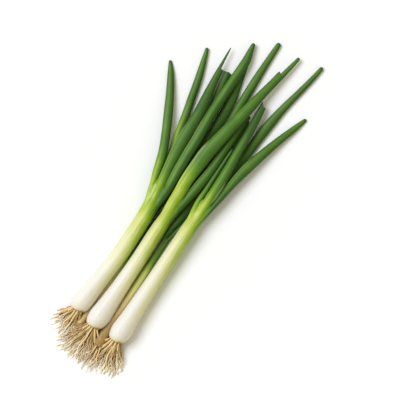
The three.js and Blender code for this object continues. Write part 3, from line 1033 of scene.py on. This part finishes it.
@dataclass(frozen=True)
class RootTuft:
    """The basal plate of an onion with its roots, splayed over the table."""

    onion: Onion

    def build(self, material: Material) -> None:
        """Builds the plate and roots as one piece.

        Args:
            material: The root finish.
        """
        fan = self.onion.fan
        source = random.Random(fan.seed)
        parts = [self.plate_part(material)]
        counts = {RootLayer.TOP: fan.top, RootLayer.HEART: fan.heart, RootLayer.MAT: fan.mat,
                  RootLayer.HAIR: fan.hairs}
        for layer, count in counts.items():
            parts += [self.root_part(k, count, layer, source, material) for k in range(count)]
        own(join(parts, f"root_tuft_{self.onion.name}"), "root", f"roots_{self.onion.name}")

    def plate_part(self, material: Material) -> Object:
        """Makes the basal plate, a low rough button under the bulb."""
        x, y, z = self.onion.axis[0]
        rim = self.onion.plate - 0.3
        profile = ((0.0, 0.5), (rim * 0.9, 0.5), (rim, 0.1), (rim * 0.93, -0.5), (rim * 0.7, -1.2),
                   (rim * 0.4, -1.6), (0.0, -1.7))
        angle = round_angles(PLATE_SIDES)
        rough = 1 + 0.05 * ripple(angle, self.onion.fan.seed, (3, 5, 8))
        rings = [np.stack([x + radius * rough * np.cos(angle), np.full(PLATE_SIDES, y + depth),
                           z + radius * rough * np.sin(angle)], axis=1) for radius, depth in profile]
        points = keep_on_table(np.array(rings[::-1]))
        age = np.full(points.shape[:2], 0.9)
        return Skin(points, {"age": age}).build(f"plate_{self.onion.name}", material, SUBDIVISION)

    def root_part(self, k: int, count: int, layer: RootLayer, source: random.Random,
                  material: Material) -> Object:
        """Makes one root: a thin wavy tube from the plate to the table.

        Args:
            k: The root's number, which gives its place on the plate.
            count: How many roots share its layer.
            layer: The root's layer.
            source: The tuft's own random source.
            material: The root finish.

        Returns:
            The root's object.
        """
        fan, kind = self.onion.fan, layer.value
        aside, up = self.seat(k, count, layer, source)
        share = min(max(0.5 + 0.5 * aside + source.uniform(-STRAY, STRAY), 0), 1)
        outward = abs(2 * share - 1)
        heading = math.radians(fan.left + (fan.right - fan.left) * share)
        run = fan.length * source.uniform(*kind.runs) * (1 - 0.3 * outward ** 2)
        thick = source.uniform(*kind.radii) * min(self.onion.plate / FULL_PLATE, 1)
        # It leaves straight, bends over and lies down on the table.
        rim = self.onion.plate - ROOT_INSET
        x, y, z = self.onion.axis[0]
        start = np.array([x + (aside + 0.06) * rim * WIDENING, y - 0.2 + 0.9 * aside * aside, z + up * rim])
        low = layer is RootLayer.MAT
        leaving = heading * (0.28 + 0.62 * outward)
        bend = start + [BEND_AT * run * math.sin(leaving), -BEND_AT * run * math.cos(leaving),
                        -(0.5 if low else 0.04) * start[2]]
        out = np.array([math.sin(heading), -math.cos(heading), 0.0])
        late = start + out * run * LIES_AT
        late[2] = 0.45 * start[2] * source.uniform(0.2, 1.0) * (0.3 if low else 1.0)
        end = start + out * run
        end[2] = source.uniform(0.2, 1.4)
        t = np.linspace(0, 1, ROOT_STEPS + 1)
        ways = np.stack([(1 - t) ** 3, 3 * (1 - t) ** 2 * t, 3 * (1 - t) * t * t, t ** 3], axis=1)
        path = ways @ np.array([start, bend, late, end])
        # It waves from side to side as it dries.
        sway = source.uniform(0.3, 1.0) * kind.sway
        phase, waves = source.uniform(0, math.tau), run / source.uniform(12, 20)
        swing = sway * ease(t, 0.12, 0.7)
        wave = waves * math.tau * t
        path[:, 0] += swing * (np.sin(wave + phase) + 0.25 * np.sin(2.1 * wave - phase))
        path[:, 2] += 0.5 * swing * np.sin(1.3 * wave + 2 * phase)
        radius = thick * (1 - NARROWING * t ** 2)
        radius[-1] = 0.0
        path[:, 2] = np.maximum(path[:, 2], radius + 0.02)
        # It is browner at its start and low and deep in the tuft, and paler on top: painted shade between
        # crowded roots, besides their own browning.
        depth = kind.brown * (1 - 0.85 * t) + 0.3 * (1 - up) * (1 - t) + 0.6 * (1 - ease(t, 0, 0.05))
        depth += fan.brown + source.uniform(-0.1, 0.12)
        age = np.clip(np.concatenate([depth[:1], depth]), 0, 1)[:, None].repeat(ROOT_SIDES, axis=1)
        skin = Skin(self.tube(path, radius), {"age": age})
        return skin.build(f"root_{self.onion.name}_{k}", material, 0)

    def seat(self, k: int, count: int, layer: RootLayer, source: random.Random) -> tuple[float, float]:
        """Finds where a root leaves the plate.

        Args:
            k: The root's number.
            count: How many roots share its layer.
            layer: The root's layer.
            source: The tuft's own random source.

        Returns:
            How far aside and how far up, as shares of the plate's radius.
        """
        if layer is RootLayer.TOP:
            aside = 2 * (k + 0.5 + source.uniform(-0.2, 0.2)) / count - 1
            return aside, (0.55 + 0.4 * (k % 2)) * math.sqrt(max(1 - aside * aside, 0.1))
        spread = math.sqrt((k + 0.6) / count)
        turn = k * GOLDEN_TURN + HAIR_TURN * (layer is RootLayer.HAIR)
        up = spread * math.sin(turn)
        return spread * math.cos(turn), -abs(up) if layer is RootLayer.MAT else up

    @staticmethod
    def tube(path: Array, radius: Array) -> Array:
        """Rolls a ring round each point of a path, from a pole at its start."""
        ahead = np.gradient(path, axis=0)
        ahead /= np.linalg.norm(ahead, axis=1, keepdims=True)
        side = np.cross(ahead, [0, 0, 1.0])
        side /= np.linalg.norm(side, axis=1, keepdims=True)
        top = np.cross(side, ahead)
        angle = round_angles(ROOT_SIDES)[:, None]
        round_path = np.cos(angle) * side[:, None] + np.sin(angle) * top[:, None]
        points = path[:, None] + radius[:, None, None] * round_path
        return np.concatenate([path[:1, None].repeat(ROOT_SIDES, axis=1), points])


LEFT = Onion(
    name="left",
    axis_rows=((-20.3, 0.5, 8.8), (-19.6, 10, 8.8), (-16.9, 36, 9.2), (-14, 63, 9.6), (-13.4, 90, 10.2),
        (-13.6, 112, 10.8), (-15.4, 135, 11.6)),
    plate=4.5, bulb=9.5, shank=7.1, belly=11, fade=30, core=(5.0, 2.6), core_z=9.6, neck_length=26,
    fan=Fan(top=8, heart=30, mat=52, hairs=14, left=-41, right=29, length=28, seed=11),
    greening=((0, 0.0), (36, 0.04), (54, 0.13), (72, 0.26), (90, 0.42), (108, 0.5), (126, 0.6)),
    # The last of these folds paints a highlight band down the shank.
    folds=(Fold(142, 112, 138, 9, 0.4, 0.6), Fold(125, 112, 138, 6, -0.4), Fold(108, 122, 129, 5, 0.1, 0.8),
        Fold(95, 80, 117, 9, 0.15, 0.25)),
    seed=5,
    leaves=(
        Leaf("outer", ((-23.6, 135, 12.4, 5.6, 6.4), (-26.3, 146, 12, 7.7, 6.4), (-30.6, 162, 11, 8.4, 6.2),
            (-37, 177, 9.6, 8.4, 6.2), (-45.3, 194, 7.2, 8.4, 5.8), (-54.5, 211.5, 4.6, 7.4, 5),
            (-62.8, 225.5, 2.6, 5.8, 4), (-68.4, 233.6, 1.2, 3.2, 2.8)),
            greening=((105, 0.5), (126, 0.58), (140, 0.68), (149, 0.78), (160, 0.9), (172, 1.0)), seed=2),
        Leaf("torn", ((-16.5, 135, 13.7, 8.4, 6.4), (-18.7, 153, 14, 9.1, 6.8),
            (-20.6, 171, 13.8, 10.7, 7.2), (-21.6, 189, 13.2, 10.6, 7.2), (-22, 207, 12, 9.9, 6.8),
            (-24, 225, 10, 8.8, 6.2), (-26.1, 243, 7.8, 6.6, 4.8), (-26.6, 252.5, 6.8, 6.2, 4.4)),
            greening=((105, 0.52), (124, 0.58), (134, 0.68), (142, 0.82), (152, 0.94), (165, 1.0),
            (215, 1.12)), end=LeafEnd.CUT, crown=0.4, sliver=((-28.1, 246, 7.6, 2.4, 1.6),
            (-28.2, 254, 7.2, 3.1, 1.4), (-28.7, 262, 6.6, 2.3, 1.2), (-29.1, 269, 5.8, 1.7, 1.0),
            (-29.3, 273.4, 5.2, 0.9, 0.8)), folds=(Fold(160, 136, 195, 13, 0.2, 0.28),), seed=3),
        Leaf("inner", ((-8.9, 135, 13.6, 7.8, 6.8), (-9.9, 153, 13.8, 9, 6.8), (-10.5, 171, 13.6, 9.6, 7.2),
            (-10.8, 189, 13.2, 9.6, 7.2), (-12.2, 216, 11.6, 9, 7), (-11.5, 252, 8.4, 8.6, 6),
            (-11.3, 270, 6.2, 8, 5.4), (-12.6, 279, 5.2, 6, 4.6), (-13.6, 286, 4.6, 4, 3.6)),
            # Painted shade, in part: the green peaks near the neck and deepens strongly on the side away from
            # the light, where the groove beside this leaf is dark.
            greening=((90, 0.62), (106, 0.8), (118, 0.96), (128, 1.06), (138, 1.04), (146, 0.94),
            (154, 0.9), (168, 1.0)), flank_shade=0.55, folds=(Fold(160, 134, 210, 14, 0.25, 0.3),), seed=4),
        Leaf("low", ((-18, 135, 8.1, 5, 4.4), (-21.4, 152, 5.2, 6, 4.8), (-25.2, 170, 3.2, 6.6, 4.8),
            (-28.6, 187, 2.6, 6.8, 5), (-31.8, 203, 2.7, 7, 5), (-35.3, 218, 2.7, 7, 5.2),
            (-38.7, 233, 2.7, 6.7, 5), (-42.6, 247, 2.5, 5.6, 4.4), (-46.7, 260.6, 2.2, 3.4, 3.2)),
            greening=((105, 0.8), (150, 1.0), (164, 0.9), (174, 0.7), (184, 0.72), (196, 0.84), (215, 1.0)),
            seed=6),
        Leaf("blunt", ((-10.8, 135, 8.1, 5.4, 4.4), (-11.3, 153, 5.4, 7, 4.8), (-12.1, 171, 3.2, 8, 5),
            (-12.6, 198, 2.6, 8, 5.2), (-14.8, 220, 2.7, 8, 5.2), (-17.4, 236, 2.7, 8, 5),
            (-19.9, 253.5, 2.6, 7, 4.6)),
            greening=((105, 0.8), (150, 1.1), (200, 1.1)), end=LeafEnd.CUT, crown=0.9,
            folds=(Fold(150, 225, 256, 14, 0.2, 0.4),), seed=7),
    ),
)

MIDDLE = Onion(
    name="middle",
    axis_rows=((0, -4.5, 9.5), (0.8, 8.5, 9.5), (2, 36, 9.8), (2.9, 70, 10.3), (2.9, 99, 11.2),
        (4.7, 135, 12.2)),
    plate=4.5, bulb=9.9, shank=6.5, belly=13, fade=30, core=(4.4, 2.4), core_z=11.0, neck_length=34,
    fan=Fan(top=10, heart=50, mat=108, hairs=20, left=-42, right=42, length=39, seed=23),
    greening=((0, 0.0), (40, 0.02), (54, 0.08), (72, 0.2), (90, 0.32), (108, 0.43), (126, 0.55)),
    flank_shade=0.32,
    folds=(Fold(33, 8, 60, 10, 0.16),),
    seed=8,
    leaves=(
        Leaf("main", ((1.7, 135, 14.6, 10.9, 7), (1.2, 153, 15.2, 11.5, 7.6), (2.1, 167, 15.5, 12.6, 7.8),
            (3.4, 182, 15.6, 13.6, 7.8), (6.1, 198, 15.4, 12.6, 7.6), (9.2, 214, 14.8, 11.4, 7.2),
            (13.2, 234, 12.8, 10.4, 6.6), (16.6, 252, 9.8, 8.4, 5.8), (20, 268, 7.6, 7.4, 5),
            (21.5, 276, 6.8, 7.4, 4.6)),
            greening=((100, 0.38), (126, 0.54), (140, 0.62), (155, 0.68), (161, 0.78), (167, 0.9),
            (178, 1.0)), end=LeafEnd.STEP, flank_shade=0.2, strip=(23.2, 6.4, 4.7, 3.8, 23, 4.4),
            folds=(Fold(157, 140, 192, 15, 0.5, 0.3), Fold(131, 140, 190, 6, -0.35)), seed=9),
        Leaf("side", ((10.2, 135, 12.4, 7.2, 6.2), (12.8, 153, 12, 8.6, 6.2), (14.8, 171, 10.8, 7.8, 6),
            (15.2, 189, 9.4, 7.4, 5.6), (16, 207, 8.2, 6.8, 4.8), (17.1, 220.5, 7.6, 5, 3.8),
            (18.2, 229, 7.3, 2.8, 2.6)),
            greening=((90, 0.55), (105, 0.72), (116, 0.86), (126, 1.0), (136, 1.06), (150, 1.0)),
            flank_shade=0.35, folds=(Fold(158, 134, 195, 13, 0.25, 0.32),), seed=10),
    ),
)

TUCKED = Onion(
    name="tucked",
    axis_rows=((-10.8, -12, 3.6), (-10.8, -7, 3.9), (-10.6, -2, 3.7), (-10.2, 3, 3.3), (-9.6, 12, 3.3),
        (-8.4, 27, 3.5), (-7.3, 43, 3.6), (-6.4, 63, 3.5), (-5.9, 80, 3.3), (-5.6, 95, 3)),
    plate=2.6, bulb=4.8, shank=2.9, belly=6.5, fade=6, core=(3.0, 2.6), core_z=3.2, neck_length=50,
    fan=Fan(top=3, heart=12, mat=10, hairs=14, left=-36, right=24, length=20, seed=71, brown=0.2),
    greening=((-12, 0.2), (18, 0.34), (32, 0.42), (41, 0.48), (50, 0.54), (60, 0.68), (72, 0.85),
        (90, 1.15)),
    flank_shade=0.0,
    # The tan along this strip is dried skin and painted shade, where it lies low between the bulbs.
    dryness_and_shade=((-12, 0.82), (-4, 0.74), (12, 0.7), (32, 0.4), (50, 0.15), (62, 0.0)),
    seed=11,
    leaves=(
        Leaf("low", ((-7.05, 95, 3, 2.6, 4.6), (-7.2, 106, 2.8, 3.4, 4.2), (-6.4, 120, 2.4, 4.4, 4.2),
            (-4.9, 138, 2.4, 5.2, 4.2), (-3.4, 157, 2.4, 5.8, 4.4), (-2.9, 180, 2.9, 7, 4.8),
            (-2.7, 198, 2.6, 7.4, 5), (-2.4, 216, 2.6, 9.2, 5.2), (-3.6, 234, 2.6, 9, 5.2),
            (-5.3, 245.5, 2.5, 7, 4.8), (-7.4, 259, 2.3, 4.8, 3.8), (-8.3, 267, 2.1, 3, 2.8)),
            greening=((60, 0.9), (95, 1.2), (200, 1.1)), seed=12),
        Leaf("under", ((-4.15, 95, 3, 2.6, 4.6), (-3.4, 106, 2.8, 3.4, 4.2), (-1, 120, 2.4, 4.6, 4.2),
            (2.6, 138, 2.3, 5.4, 4.2), (5.6, 157, 2.4, 6.4, 4.4), (7.4, 180, 2.9, 7.4, 4.8),
            (8, 198, 2.6, 7.6, 5), (6.7, 216, 2.6, 7.4, 5.2), (5.7, 234, 2.6, 7.6, 5.2),
            (5.2, 252, 2.6, 7.6, 5), (5, 270, 2.5, 6.6, 4.6), (5.2, 288, 2.4, 5.4, 4.2),
            (5.4, 298.2, 2.3, 4.6, 3.8)),
            greening=((60, 0.9), (95, 1.2), (225, 1.0)), seed=13),
    ),
)

RIGHT = Onion(
    name="right",
    axis_rows=((24.2, -4.5, 9.3), (24.5, 8.5, 9.3), (24.6, 36, 9.7), (25.1, 70, 10.6), (25.7, 105, 11.8),
        (26.8, 141, 12.8)),
    plate=4.5, bulb=9.7, shank=6.7, belly=13, fade=27, core=(4.6, 2.6), core_z=11.4, neck_length=28,
    fan=Fan(top=9, heart=44, mat=92, hairs=20, left=-40, right=41, length=36, seed=37),
    greening=((0, 0.0), (40, 0.02), (54, 0.06), (72, 0.16), (90, 0.27), (108, 0.35), (126, 0.44),
        (141, 0.55)),
    folds=(Fold(37, 4, 62, 10, 0.2),),
    seed=14,
    leaves=(
        Leaf("slim", ((20.2, 141, 12.4, 5, 4.6), (20.6, 152, 11.8, 4.8, 4.6), (20.6, 162, 10.8, 4.6, 4.4),
            (20.8, 180, 9.2, 4, 4), (21, 196, 8.2, 2.6, 2.8)),
            greening=((108, 0.4), (122, 0.54), (132, 0.66), (142, 0.82), (152, 0.96), (164, 1.06)),
            seed=15),
        Leaf("cut", ((27.3, 141, 13.4, 8.2, 7), (28, 162, 13.8, 9.3, 7.2), (27.5, 180, 13.6, 9, 7.2),
            (26.6, 193.5, 13, 8.2, 7), (25.7, 216, 11.4, 8, 6.6), (25, 225, 10.2, 7.6, 6.2),
            (24.2, 234, 8.8, 7.2, 5.6), (23.5, 244.5, 7.4, 5.9, 4.8)),
            # Painted shadow: past y 203 the green deepens where the middle onion's main leaf shades this one.
            greening=((100, 0.3), (118, 0.4), (130, 0.46), (140, 0.57), (148, 0.72), (158, 0.84),
            (170, 0.96), (190, 1.0), (203, 1.02), (220, 1.25)), end=LeafEnd.CUT, slant=-0.95,
            folds=(Fold(32, 143, 170, 12, 0.4, 0.35), Fold(57, 143, 166, 7, -0.35)), seed=16),
        Leaf("outer", ((33.5, 141, 12.6, 4.6, 6), (35.3, 153, 12.2, 5.5, 6.4), (37.6, 171, 11.4, 7.4, 6.6),
            (41.1, 189, 10, 9.2, 6.6), (45.9, 207, 7.6, 8.6, 6.2), (51.6, 225, 5.2, 7.2, 5.4),
            (58, 243, 2.8, 5.6, 4.4), (61.8, 254, 1.3, 3.4, 3)),
            # Painted shade, in part: the green peaks where this leaf's edge lies in the dark groove by the
            # neck.
            greening=((90, 0.5), (105, 0.62), (120, 0.74), (134, 0.92), (146, 1.16), (158, 1.12),
            (172, 1.02)), folds=(Fold(158, 142, 200, 12, 0.25, 0.25),), seed=17),
    ),
)

THIN = Onion(
    name="thin",
    axis_rows=((13.4, -16.5, 5), (13.3, -10, 5), (13, -1, 4.4), (13.2, 8, 4), (13.8, 30, 3.9),
        (14.2, 60, 3.7), (14.2, 95, 3.5)),
    plate=3.4, bulb=5.8, shank=3.8, belly=8, fade=7.5, core=(2.9, 2.8), core_z=3.4, neck_length=40,
    fan=Fan(top=4, heart=16, mat=14, hairs=18, left=-30, right=28, length=26, seed=53, brown=0.2),
    greening=((-16, 0.2), (18, 0.3), (36, 0.42), (54, 0.54), (72, 0.66), (84, 0.78), (94, 0.94)),
    flank_shade=0.0,
    # The tan along this strip is dried skin and painted shade, where it lies low between the bulbs.
    dryness_and_shade=((-16, 1.0), (-4, 0.98), (6, 0.85), (18, 0.7), (36, 0.5), (54, 0.3), (72, 0.05)),
    seed=18,
    leaves=(
        Leaf("short", ((12.4, 95, 3.8, 3.1, 5.6), (12.4, 104, 4.2, 4.6, 5.4), (14.4, 117, 4.3, 6.6, 5.2),
            (16.2, 135, 3.4, 7.2, 5.2), (18, 162, 2.8, 7.6, 5), (19.8, 189, 2.6, 7.4, 5),
            (20, 211, 2.5, 6.4, 4.8), (19.4, 225, 2.3, 3.4, 3.4)),
            greening=((60, 0.85), (95, 1.0), (140, 1.15)), seed=19),
        Leaf("long", ((15.8, 95, 3.2, 2.9, 4.6), (17.3, 104, 2.4, 4, 4.2), (20.7, 117, 2, 6, 3.9),
            (24.8, 135, 2, 7.8, 3.9), (29.3, 162, 2.2, 8.6, 4.4), (33.1, 189, 2.6, 8.4, 5),
            (34.9, 216, 2.7, 9.2, 5.4), (36.9, 234, 2.7, 9, 5.4), (39.6, 252, 2.6, 7.2, 5),
            (43.4, 270, 2.5, 5.8, 4.4), (47.2, 288, 2.4, 4.8, 4.2), (49.3, 301, 2.3, 3.7, 3.6)),
            greening=((60, 0.85), (95, 1.0), (140, 1.05)), seed=20),
    ),
)


# ---- studio


@dataclass(frozen=True)
class Studio:
    """A pale board under soft light, seen from straight above."""

    centre: tuple[float, float] = (0.0240, 0.0128)
    turn: float = 32.5
    distance: float = 3.0
    view_width: float = 0.360
    sensor: float = 36.0
    sun_tilt: float = 34.0
    sun_angle: float = 33.0
    sun_strength: float = 2.56
    sun_colour: tuple[float, float, float] = (0.88, 0.905, 1.06)
    sky_strength: float = 0.545
    sky_colour: tuple[float, float, float] = (1.0, 0.97, 0.72)

    def build(self) -> None:
        """Adds the board, the light and the camera."""
        self.add_board()
        self.add_light()
        self.add_camera()

    def add_board(self) -> None:
        """Lays the board just under the bunch."""
        bpy.ops.mesh.primitive_plane_add(size=30, location=(0, 0, -0.00005))
        board = bpy.context.object
        board.name = "board"
        board.data.materials.append(PaleBoard("white_board", "#f4f4f4").build())

    def add_light(self) -> None:
        """Adds a wide soft sun from the left and an even warm sky."""
        bpy.ops.object.light_add(type="SUN", rotation=(0, -math.radians(self.sun_tilt), 0))
        sun = bpy.context.object
        sun.data.angle = math.radians(self.sun_angle)
        sun.data.energy = self.sun_strength
        sun.data.color = self.sun_colour
        world = bpy.data.worlds.new("sky")
        world.use_nodes = True
        background = world.node_tree.nodes["Background"]
        background.inputs["Color"].default_value = (*self.sky_colour, 1.0)
        background.inputs["Strength"].default_value = self.sky_strength
        bpy.context.scene.world = world

    def add_camera(self) -> None:
        """Hangs the camera straight above the bunch."""
        x, y = self.centre
        bpy.ops.object.camera_add(location=(x, y, self.distance), rotation=(0, 0, math.radians(self.turn)))
        camera = bpy.context.object
        camera.data.sensor_width = self.sensor
        camera.data.lens = self.sensor * self.distance / self.view_width
        bpy.context.scene.camera = camera
        bpy.context.scene.view_settings.view_transform = "Standard"


def main() -> None:
    """Builds the bunch and its studio."""
    logging.basicConfig(level=logging.INFO, format="%(name)s %(message)s")
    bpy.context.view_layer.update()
    finishes = {
        "shank": OnionSkin("moist_onion_skin").build(),
        "leaf": OnionSkin("waxed_leaf_blade").build(),
        "root": RootFibre("dried_root_fibre").build(),
    }
    for onion in (LEFT, MIDDLE, TUCKED, RIGHT, THIN):
        onion.build(finishes)
    Studio().build()


if __name__ == "__main__":
    main()
